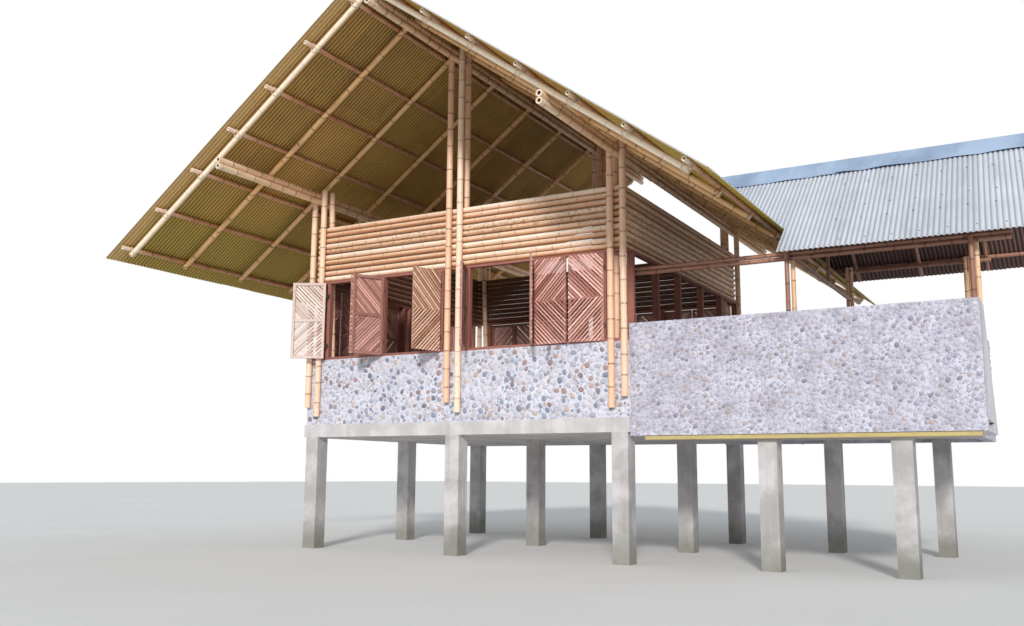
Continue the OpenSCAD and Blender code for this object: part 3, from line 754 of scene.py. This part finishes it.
def sheets(bag, corner, along, up, width, length, seed, rows=3, painted_verge_light=0.0, skew_all=0.0):
    """Lapped corrugated sheets on a slope: along is level, up climbs the slope from corner.
    painted_verge_light is how much painted sunlight turns the ends golden below, skew_all how far the top is
    off square, for each metre."""
    rng = random.Random(seed)
    corner, along, up = (np.asarray(v, float) for v in (corner, along, up))
    out = skyward(along, up)
    flip = np.cross(along, up)[2] < 0
    count = max(1, round(width / (12 * wave_p)))
    sheet_w = width / count
    sheet_l = length / rows
    lap, cuts, skin_t = 0.12, 4, 0.0011
    for c in range(count):
        for r in range(rows):
            u0, u1 = c * sheet_w, min(width, (c + 1) * sheet_w + (wave_p if c < count - 1 else 0))
            v0, v1 = r * sheet_l, min(length, (r + 1) * sheet_l + (lap if r < rows - 1 else 0))
            v0 += rng.uniform(0, 0.012) if r == 0 else rng.uniform(-0.01, 0.01)
            lift = 0.0012 * (c % 2)
            steps = int(round((u1 - u0) / wave_p * 8)) + 1
            us = np.linspace(u0, u1, steps)
            vs = np.linspace(v0, v1, cuts)
            tone = rng.random()
            skew = rng.uniform(-0.004, 0.004)
            u, v = np.meshgrid(us, vs)
            crest = (1 - np.cos(2 * math.pi * u / wave_p)) / 2
            h = wave_h * crest + lift
            h = h + np.where(r > 0, 0.002, 0) * (1 - (v - v0) / (v1 - v0))
            v = v + skew * (u - u0) / sheet_w
            u = u + skew_all * v
            reach = np.stack([u, v, u * 0], -1).reshape(-1, 3)
            edge = np.minimum(u, width - u).reshape(-1)
            # Painted sunlight: the underside is painted golden within 0.42 m of the slope's two ends, palest
            # right at the edge.
            near = (np.clip((0.42 - edge) / 0.24, 0, 1) + (edge < 0.012)) * painted_verge_light
            marks = np.stack([crest.reshape(-1), near * 0 + tone, near], -1)
            faces = [q[::-1] if flip else q for q in net(cuts, steps)]
            grain = reach + (c * 3.1 + seed, r * 1.7, 0)
            for skin, rise_by in ((0, skin_t), (1, 0.0)):
                height = h.reshape(-1, 1) + rise_by
                points = corner + u.reshape(-1, 1) * along + v.reshape(-1, 1) * up + height * out
                put(bag, points, faces if skin == 0 else [f[::-1] for f in faces], grain, marks, skin)
            total = cuts * steps
            last = total - steps
            edges = []
            for i in range(steps - 1):
                edges += [(i, i + 1), (last + i, last + i + 1)]
            for j in range(cuts - 1):
                edges += [(j * steps, (j + 1) * steps), ((j + 1) * steps - 1, (j + 2) * steps - 1)]
            start = bag["count"] - 2 * total
            rim = [(a, b, total + b, total + a) for a, b in edges]
            bag["faces"].append([tuple(start + i for i in f) for f in rim])
            bag["kinds"].append(np.ones(len(rim)))


eave_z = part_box("left_roof")[0][2]
eave_out, verge_y, roof_l, climb = 2.15, -2.52, 10.24, 5.985
sheet_base = eave_z + eave_out * rise / run
slopes = (("left_roof", left_x - eave_out, 1), ("right_roof", right_x + eave_out, -1))
for name, x, sign in slopes:
    bag = new_bag()
    sheets(bag, (x, verge_y, eave_z), (0, 1, 0), (sign * run, 0, rise), roof_l, climb, seed=5, painted_verge_light=1.0)
    piece(name + "_sheets", bag, [top_paint, under_paint], (name,), 60)


# Nails. Roofing nails with round lead washers, part rusted. They are driven through the crests
# of the sheets into each purlin below.
def plain(*rows):
    """A profile for lathe from (along, radius) pairs, with no rings or cut ends."""
    return [(along, radius, 0, 0) for along, radius in rows]


nail_head = plain((0.0, 0.013), (0.002, 0.012), (0.0035, 0.006), (0.0055, 0.005), (0.0065, 0.0005))


def nails(bag, corner, along, up, width, lines, every, rng):
    """lines are the distances up the slope at which nails stand, one on every so many crests."""
    corner, along, up = (np.asarray(v, float) for v in (corner, along, up))
    out = skyward(along, up)
    for v in lines:
        k = rng.randint(1, every)
        while (k + 0.5) * wave_p < width:
            u = (k + 0.5) * wave_p
            centre = corner + u * along + (v + rng.uniform(-0.02, 0.02)) * up + (wave_h + 0.001) * out
            lathe(bag, centre, (out, along, up), nail_head, rng.random(), k, turns=8)
            k += every


nail_paint = Paint("lead_and_rust")
rusted = nail_paint.step(nail_paint.noise(nail_paint.attribute("grain"), 60.0), 0.4, 0.6)
nail_lead = nail_paint.surface(nail_paint.mix(rusted, (0.2, 0.2, 0.22), (0.26, 0.16, 0.12)), 0.7, 0.3)
rng = random.Random(12)
bag = new_bag()
for name, x, sign in slopes:
    lines = [(0.29 + i * 0.7117) / run for i in range(7)]
    nails(bag, (x, verge_y, eave_z), (0, 1, 0), (sign * run, 0, rise), roof_l, lines, 4, rng)
piece("main_roof_nails", bag, [nail_lead])
ridge2_y, ridge2_z = 2.6, 5.9
terrace_slopes = (("terrace_near_roof", -0.03, 1, 2.63), ("terrace_far_roof", 4.66, -1, 2.06))
nails_x, nails_w = 8.0, 2.5
nail_rows = ((0.06, 0.27, 0.404, 0.673), (0.14, 0.515))
bag = new_bag()
for (name, y, sign, reach), shares in zip(terrace_slopes, nail_rows):
    fall = abs(y - ridge2_y) * rise / run
    lines = [reach * share / run for share in shares]
    nails(bag, (nails_x, y, ridge2_z - fall), (1, 0, 0), (0, sign * run, rise), nails_w, lines, 5, rng)
piece("terrace_roof_nails", bag, [nail_lead])


# Terrace roof sheets. The same corrugated sheets, laid a little off square, on two short slopes
# that run into the main roof; reddish underneath, and painted dark there as shade. They are cut to
# the slope they meet.
def slice_off(work, point, normal, geom=None, **clear):
    """Cuts a mesh with a plane; clear_inner or clear_outer is the side that goes."""
    if geom is None:
        geom = work.verts[:] + work.edges[:] + work.faces[:]
    return bmesh.ops.bisect_plane(work, geom=geom, dist=1e-6, plane_co=point, plane_no=normal, **clear)


def trim_valley(made):
    """Cuts away what lies past the gable end or below the main roof's right slope."""
    work = bmesh.new()
    work.from_mesh(made.data)
    eave = right_x + eave_out + 0.012
    slice_off(work, (eave, 0, 0), (1, 0, 0))
    slice_off(work, (terrace_end, 0, 0), (1, 0, 0), clear_outer=True)
    part = [f for f in work.faces if f.calc_center_median().x < eave]
    geom = list({v for f in part for v in f.verts}) + list({e for f in part for e in f.edges}) + part
    top = sheet_base + (wave_h + 0.0024) / run
    slice_off(work, (right_x, 0, top), (rise, 0, run), geom, clear_inner=True)
    work.to_mesh(made.data)
    work.free()


terrace_end, terrace_w, off_square = 10.53, 5.26, -0.042
for i, (name, y, sign, reach) in enumerate(terrace_slopes):
    bag = new_bag()
    fall = abs(y - ridge2_y) * rise / run
    sheets(bag, (right_x, y, ridge2_z - fall), (1, 0, 0), (0, sign * run, rise), terrace_w,
           reach / run - 0.01, seed=8 + i, rows=1 + i, skew_all=off_square)
    trim_valley(piece(name + "_sheets", bag, [top_paint, shade_paint], (name,), 60))


# Ridge caps. Bent lengths of dull grey-blue sheet over both ridges, lapped end over end and a
# little buckled, so that dark gaps show under their edges.
def cap_paint():
    paint = Paint("ridge_sheet")
    grain = paint.attribute("grain")
    cloud = paint.noise(grain, 1.6, 6.0, 0.65)
    scuff = paint.noise(grain, 30.0, 4.0)
    colour = paint.mix(paint.step(cloud, 0.35, 0.68), (0.27, 0.37, 0.52), (0.44, 0.57, 0.76))
    colour = paint.mix(paint.step(scuff, 0.6, 0.8) * 0.4, colour, (0.55, 0.58, 0.6))
    return paint.surface(colour, 0.48, 0.35, cloud, 0.006, 0.4)


def cap(name, node, start, along, sides, length, wing, seed, dents):
    """sides are the two downhill directions; the bend runs along the ridge from start. wing is
    how far each side reaches down, dents how far it is buckled."""
    rng = random.Random(seed)
    start, along = np.asarray(start, float), np.asarray(along, float)
    bag = new_bag()
    pieces = max(1, round(length / 2.4))
    lap, steps, lines = 0.12, 42, (0.0, 0.03, 0.3, 0.6, 0.9, 1.0)
    across = len(lines)
    quads = net(across, steps)
    for k in range(pieces):
        s = np.linspace(k * length / pieces, min(length, (k + 1) * length / pieces + lap), steps)
        waves = [(rng.uniform(1.5, 7), rng.uniform(0, 6), rng.uniform(0.3, 1.0)) for _ in range(4)]
        grain = np.stack([np.tile(s, across), np.repeat(np.arange(across) * 0.05, steps),
                          np.zeros(across * steps)], -1) + seed
        for down in sides:
            down = np.asarray(down, float)
            out = skyward(along, down)
            rows = []
            for t in lines:
                wobble = sum(a * np.sin(f * s + p) for f, p, a in waves) * dents * t * 0.5
                lift = 0.002 * (k % 2) + np.abs(wobble)
                rows.append(start + np.outer(s, along) + wing * t * down + np.outer(lift, out))
            grid = np.array(rows)
            for thick, faces in ((0.0012, quads), (0.0, [q[::-1] for q in quads])):
                put(bag, (grid + out * thick).reshape(-1, 3), faces, grain, (0, rng.random(), 0))
    return piece(name, bag, [ridge_sheet], (node,))


ridge_sheet = cap_paint()
cap_seat = (wave_h + 0.0035) / run
ridge_z = sheet_base + middle_x * rise / run
cap("main_cap", "ridge_cap", (middle_x, verge_y, ridge_z + cap_seat), (0, 1, 0),
    ((run, 0, -rise), (-run, 0, -rise)), roof_l, wing=0.26, seed=3, dents=0.006)
trim_valley(cap("terrace_ridge_cap", "terrace_cap", (right_x, ridge2_y, ridge2_z + cap_seat), (1, 0, 0),
                ((0, run, -rise), (0, -run, -rise)), 5.13, wing=0.61, seed=4, dents=0.02))


# Window frames. Dark red hardwood: a sill board on the pebble wall, uprights at the jambs and
# the middle, and a head board that carries the band of culms.
def wood(name, light, dark, rough=0.6):
    paint = Paint(name)
    grain = paint.attribute("grain")
    tone = paint.attribute("marks", 1)
    streak = paint.noise(paint.stretch(grain, (30.0, 30.0, 1.6)), 1.6, 6.0, 0.65)
    cloud = paint.noise(paint.stretch(grain, (4.0, 4.0, 1.5)), 1.0, 3.0)
    pore = paint.noise(paint.stretch(grain, (160.0, 160.0, 8.0)), 1.0, 2.0)
    colour = paint.mix(paint.clamp(streak * 1.3 + tone * 0.5 + cloud * 0.5 - 0.65), dark, light)
    colour = paint.mix(paint.step(pore, 0.56, 0.7) * 0.4, colour, tinted(dark, 0.4, 0.4, 0.4))
    return paint.surface(colour, rough, 0.0, streak + pore * 0.5, 0.0012, 0.5)


def timber(bag, low, high, rng, edge=0.004):
    """One sawn member between two corners, with eased edges and slightly uneven faces."""
    low, high = np.asarray(low, float), np.asarray(high, float)
    size = high - low
    long = int(np.argmax(size))
    a, b = [k for k in range(3) if k != long]
    if (b - a) % 2 == 0:
        a, b = b, a
    edge = min(edge, size[a] / 3, size[b] / 3)
    count = max(2, int(size[long] / 0.35) + 1)
    middle = [(s, 0.0) for s in np.linspace(edge, size[long] - edge, count)]
    stations = [(0.0, edge * 0.6)] + middle + [(size[long], edge * 0.6)]
    corners = [(edge, 0), (size[a] - edge, 0), (size[a], edge), (size[a], size[b] - edge),
               (size[a] - edge, size[b]), (edge, size[b]), (0, size[b] - edge), (0, edge)]
    points = []
    for s, inset in stations:
        for ca, cb in corners:
            point = low.copy()
            point[a] += min(max(ca, inset), size[a] - inset)
            point[b] += min(max(cb, inset), size[b] - inset)
            point[long] += s
            points.append(point)
    points = np.array(points)
    last = len(points) - 8
    uneven = 0.0004
    points[8:last] += np.array([[rng.uniform(-uneven, uneven) for _ in range(3)] for _ in range(last - 8)])
    faces = [tuple(range(7, -1, -1)), tuple(range(last, last + 8))] + sleeve(len(stations), 8)
    drift = rng.uniform(-30, 30)
    grain = np.stack([points[:, a] + drift, points[:, b] - drift, points[:, long] + drift], -1)
    put(bag, points, faces, grain, (0, rng.random(), 0))


frame_wood = wood("frame_hardwood", (0.42, 0.17, 0.13), (0.22, 0.075, 0.055))
head_z, board_t, upright_w, proud = 4.26, 0.04, 0.06, 0.002


def sill(bag, x0, x1, rng):
    timber(bag, (x0, -proud, sill_z), (x1, wall_t, sill_z + board_t), rng)


def head_board(bag, x0, x1, depth, rng):
    timber(bag, (x0, -proud, head_z), (x1, depth, head_z + board_t), rng)


def uprights(bag, places, depth, rng):
    for x in places:
        timber(bag, (x, 0.0, sill_z + board_t), (x + upright_w, depth, head_z), rng)


def turned(bag, matrix):
    """Moves all a bag holds by a matrix; a mirroring one turns the faces over."""
    matrix = np.array(matrix)
    bag["points"] = [p @ matrix[:3, :3].T + matrix[:3, 3] for p in bag["points"]]
    if np.linalg.det(matrix[:3, :3]) < 0:
        bag["faces"] = [[f[::-1] for f in part] for part in bag["faces"]]
    return bag


def merged(bags):
    """One bag with all that several hold."""
    whole = new_bag()
    for bag in bags:
        for key in ("points", "grain", "marks", "kinds"):
            whole[key] += bag[key]
        whole["faces"] += [[tuple(whole["count"] + i for i in f) for f in part] for part in bag["faces"]]
        whole["count"] += bag["count"]
    return whole


to_rear = Matrix.Translation((0, wall_rear, 0)) @ Matrix.Diagonal((1, -1, 1, 1))
to_left = Matrix(((0, 1, 0, wall_left), (1, 0, 0, 0), (0, 0, 1, 0), (0, 0, 0, 1)))
to_right = Matrix(((0, -1, 0, wall_right), (1, 0, 0, 0), (0, 0, 1, 0), (0, 0, 0, 1)))
gap, front_deep, side_deep = 0.0003, 0.084, 0.1
span_a, jambs_a = (wall_left, middle_x - gap), (0.19, 1.3075, 2.425)
span_b, jambs_b = (middle_x + gap, wall_right), (2.9, 4.025, 5.15)
side_start, side_end, door_start, door_end = wall_t + gap, wall_rear - wall_t - gap, 2.1, 3.1
jambs_c, jambs_d = (0.1803, 1.33015, 2.48), (2.66, 3.80985, 4.9597)
rng = random.Random(80)
for name, lights, depth, move, node in (
    ("front_left_timbers", [(span_a, jambs_a)], front_deep, Matrix(), "front_left_frame"),
    ("front_right_timbers", [(span_b, jambs_b)], front_deep, Matrix(), "front_right_frame"),
    ("rear_timbers", [(span_a, jambs_a), (span_b, jambs_b)], front_deep, to_rear, "rear_frames"),
    ("left_timbers", [((side_start, side_end), jambs_c + jambs_d)], side_deep, to_left, "left_frames"),
):
    bag = new_bag()
    for span, places in lights:
        sill(bag, *span, rng)
        head_board(bag, *span, depth, rng)
        uprights(bag, places, depth, rng)
    piece(name, turned(bag, move), [frame_wood], (node,), 30)
bag = new_bag()
head_board(bag, side_start, side_end, side_deep, rng)
sill(bag, side_start, door_start, rng)
sill(bag, door_end, side_end, rng)
uprights(bag, (0.1803, 1.11015, 2.04, door_end, 4.08985, 4.9597), side_deep, rng)
piece("right_timbers", turned(bag, to_right), [frame_wood], ("right_frames",), 30)


# Shutters. Each leaf is a hardwood frame with a middle rail; split bamboo is nailed slanting
# across its whole outer face, in a chevron that points to the hinges. Two knuckle hinges hold it.
leaf_w, leaf_h, leaf_z, rail = 0.5367, 1.245, 3.012, 0.045


def leaf(rng, tone, open_work):
    """One leaf with its hinges at x = 0: the frame and the strips. open_work leaves gaps."""
    wooden, strips = new_bag(), new_bag()
    x0, x1 = 0.003, 0.003 + leaf_w
    half_h, half_rail = leaf_h / 2, rail / 2
    for low, high in ((0, rail), (half_h - half_rail, half_h + half_rail), (leaf_h - rail, leaf_h)):
        timber(wooden, (x0 + rail, -0.004, low), (x1 - rail, 0.018, high), rng, 0.003)
    for x in (x0, x1 - rail):
        timber(wooden, (x, -0.004, 0), (x + rail, 0.02, leaf_h), rng, 0.003)
    pitch, cuts = 0.044, 5
    ring = [(-1, 0), (-0.82, 0.58), (-0.35, 0.94), (0.35, 0.94), (0.82, 0.58), (1, 0)]
    for z0, z1, way, share in ((0.0, half_h, 1, 0.8), (half_h, leaf_h, -1, 0.94)):
        widest = share if open_work else 0.99
        work = bmesh.new()
        values = []
        direction = Vector((-way, 0, 1)).normalized()
        side = Vector((way, 0, 1)).normalized()
        for i in range(-1, 20):
            t = (i + 0.5 + rng.uniform(-0.06, 0.06)) * pitch * math.sqrt(2)
            half = pitch / 2 * widest * (rng.uniform(0.84, 1.0) if open_work else 1.0)
            thick = rng.uniform(0.011, 0.0135)
            base = Vector((x0 + t if way > 0 else x1 - t, -0.0042, z0))
            tone_here = min(1.0, max(0.0, tone + rng.uniform(-0.45, 0.45)))
            drift = rng.uniform(0, 30)
            verts = []
            for k in range(cuts):
                s = -0.1 + k * 0.27
                for a, b in ring:
                    point = base + direction * s + side * (a * half) + Vector((0, -b * thick, 0))
                    verts.append(work.verts.new(point))
                    values.append((tone_here, s + drift, a))
            for face in sleeve(cuts, len(ring)):
                work.faces.new([verts[n] for n in face])
        layer = work.verts.layers.float_vector.new("mark")
        work.verts.ensure_lookup_table()
        for vert, value in zip(work.verts, values):
            vert[layer] = value
        for point, normal in (((x0 + 0.012, 0, 0), (-1, 0, 0)), ((x1, 0, 0), (1, 0, 0)),
                              ((0, 0, z0 + 0.001), (0, 0, -1)), ((0, 0, z1 - 0.001), (0, 0, 1))):
            got = slice_off(work, point, normal, clear_outer=True)
            open_ends = [e for e in got["geom_cut"] if isinstance(e, bmesh.types.BMEdge)]
            if open_ends:
                bmesh.ops.holes_fill(work, edges=open_ends, sides=0)
        bmesh.ops.recalc_face_normals(work, faces=work.faces[:])
        work.verts.index_update()
        shade, run_at, off = np.array([v[layer][:] for v in work.verts]).T
        put(strips, [v.co[:] for v in work.verts], [tuple(v.index for v in f.verts) for f in work.faces],
            np.stack([off, shade * 9, run_at], -1), np.stack([shade * 0, shade, shade * 0], -1))
        work.free()
    return wooden, strips


def hinge(back):
    """Knuckle and plate of both hinges, in the leaf's place but not swung with it."""
    bag = new_bag()
    knuckle = plain((0, 0.001), (0, 0.0105), (0.001, 0.0118),
                    (0.0125, 0.0118), (0.0135, 0.0105), (0.0135, 0.001))
    upright = np.eye(3)[[2, 0, 1]]
    for z in (leaf_h * 0.17, leaf_h * 0.83):
        for k in range(5):
            lathe(bag, np.array((0, 0, z - 0.035 + k * 0.014)), upright, knuckle, 0.5, k)
        for low, high in (
            ((-0.012, back - 0.0035, z - 0.035), (0.012, back - gap, z + 0.035)),
            ((-0.0025, 0.008, z - 0.033), (0.0025, back - 0.002, z + 0.033)),
        ):
            timber(bag, low, high, random.Random(4), 0.001)
    return bag


def strip_paint(name, light, dark):
    paint = Paint(name)
    grain = paint.attribute("grain")
    tone = paint.attribute("marks", 1)
    streak = paint.noise(paint.stretch(grain, (1.6, 1.0, 5.0)), 1.0, 5.0, 0.6)
    scar = paint.math("FRACT", paint.attribute("grain", 2) * 3.1)
    stain = paint.noise(paint.stretch(grain, (1.0, 1.0, 3.0)), 1.3, 4.0)
    colour = paint.mix(paint.clamp(tone + streak * 0.5 - 0.25), dark, light)
    colour = paint.mix(paint.step(stain, 0.56, 0.75) * 0.5, colour, tinted(dark, 0.5, 0.45, 0.4))
    # Painted shade: each strip is painted darker towards its long edges, where the strips meet; the dark
    # lines across them are node scars.
    rim = paint.step(paint.math("ABSOLUTE", paint.attribute("grain", 0)), 0.62, 1.0)
    colour = paint.mix(paint.clamp(rim * 0.92 + (scar < 0.02) * 0.7), colour, tinted(dark, 0.4, 0.35, 0.3))
    return paint.surface(colour, 0.55, 0.0, streak, 0.001, 0.4)


def iron():
    paint = Paint("hinge_iron")
    place = paint.attribute("grain")
    rust = paint.noise(place, 90.0, 4.0)
    colour = paint.mix(paint.step(rust, 0.4, 0.65), (0.1, 0.095, 0.09), (0.2, 0.11, 0.07))
    return paint.surface(colour, 0.6, 0.6, rust, 0.0005, 0.3)


iron_paint = iron()
golden = strip_paint("split_bamboo_golden", (1.0, 0.72, 0.54), (0.4, 0.18, 0.1))
brown = strip_paint("split_bamboo_brown", (1.0, 0.58, 0.5), (0.33, 0.12, 0.09))
pale = strip_paint("split_bamboo_pale", (0.86, 0.73, 0.66), (0.5, 0.32, 0.24))
leaf_wood = wood("leaf_hardwood", (0.5, 0.26, 0.215), (0.3, 0.13, 0.1))
faded_wood = wood("faded_leaf_wood", (0.78, 0.65, 0.6), (0.6, 0.43, 0.37))


def hang(name, doors, node, strip_bamboo, tone, move=Matrix()):
    """doors lists the leaves as hinge x, side, opening angle and stand-off from the wall."""
    rng = random.Random(name)
    woods, strips, irons = [], [], []
    for x, side, angle, out in doors:
        back = 0.016 + out
        place = move @ Matrix.Translation((x, -back, leaf_z)) @ Matrix.Diagonal((side, 1, 1, 1))
        swing = place @ Matrix.Rotation(math.radians(-angle), 4, "Z")
        wooden, strip = leaf(rng, tone, len(doors) == 1)
        woods.append(turned(wooden, swing))
        strips.append(turned(strip, swing))
        irons.append(turned(hinge(back), place))
    frame_paint = faded_wood if strip_bamboo is pale else leaf_wood
    piece(name + "_frame", merged(woods), [frame_paint], (node,), 30)
    piece(name + "_strips", merged(strips), [strip_bamboo], (node,), 45)
    piece(name + "_hinges", merged(irons), [iron_paint], (node,))


stand_off = 0.003
for number, (x, side, angle, out, strip_bamboo, tone) in enumerate((
    (0.235, 1, 150, 0.07, pale, 0.6),
    (1.3175, -1, 67, stand_off, brown, 0.5),
    (1.3575, 1, 113, stand_off, brown, 0.6),
    (2.45, -1, 74, stand_off, golden, 0.55),
    (2.915, 1, 66, stand_off, brown, 0.3),
    (4.035, -1, 118, stand_off, brown, 0.4),
    (4.075, 1, 4, stand_off, brown, 0.5),
    (5.19, -1, 4, stand_off, brown, 0.5),
), 1):
    hang("leaf_%d" % number, [(x, side, angle, out)], "shutter_%d" % number, strip_bamboo, tone)


def closed(*jambs):
    """A pair of closed leaves for each light between the uprights."""
    pairs = [pair for places in jambs for pair in zip(places, places[1:])]
    return [door for a, b in pairs for door in ((a + 0.046, 1, 0, stand_off), (b + 0.014, -1, 0, stand_off))]


hang("rear_leaves", closed(jambs_a, jambs_b), "rear_shutters", brown, 0.55, to_rear)
hang("left_leaves", closed(jambs_c, jambs_d), "left_shutters", brown, 0.55, to_left)


# Edge board. A weathered yellow board of the formwork, sawn, that was left under the front edge
# of the parapet.
board_paint = wood("edge_board_wood", (0.62, 0.5, 0.22), (0.4, 0.31, 0.13), 0.75)
low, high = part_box("edge_board")
bag = new_bag()
timber(bag, low, high, random.Random(90), 0.006)
piece("edge_board_plank", bag, [board_paint], ("edge_board",), 30)
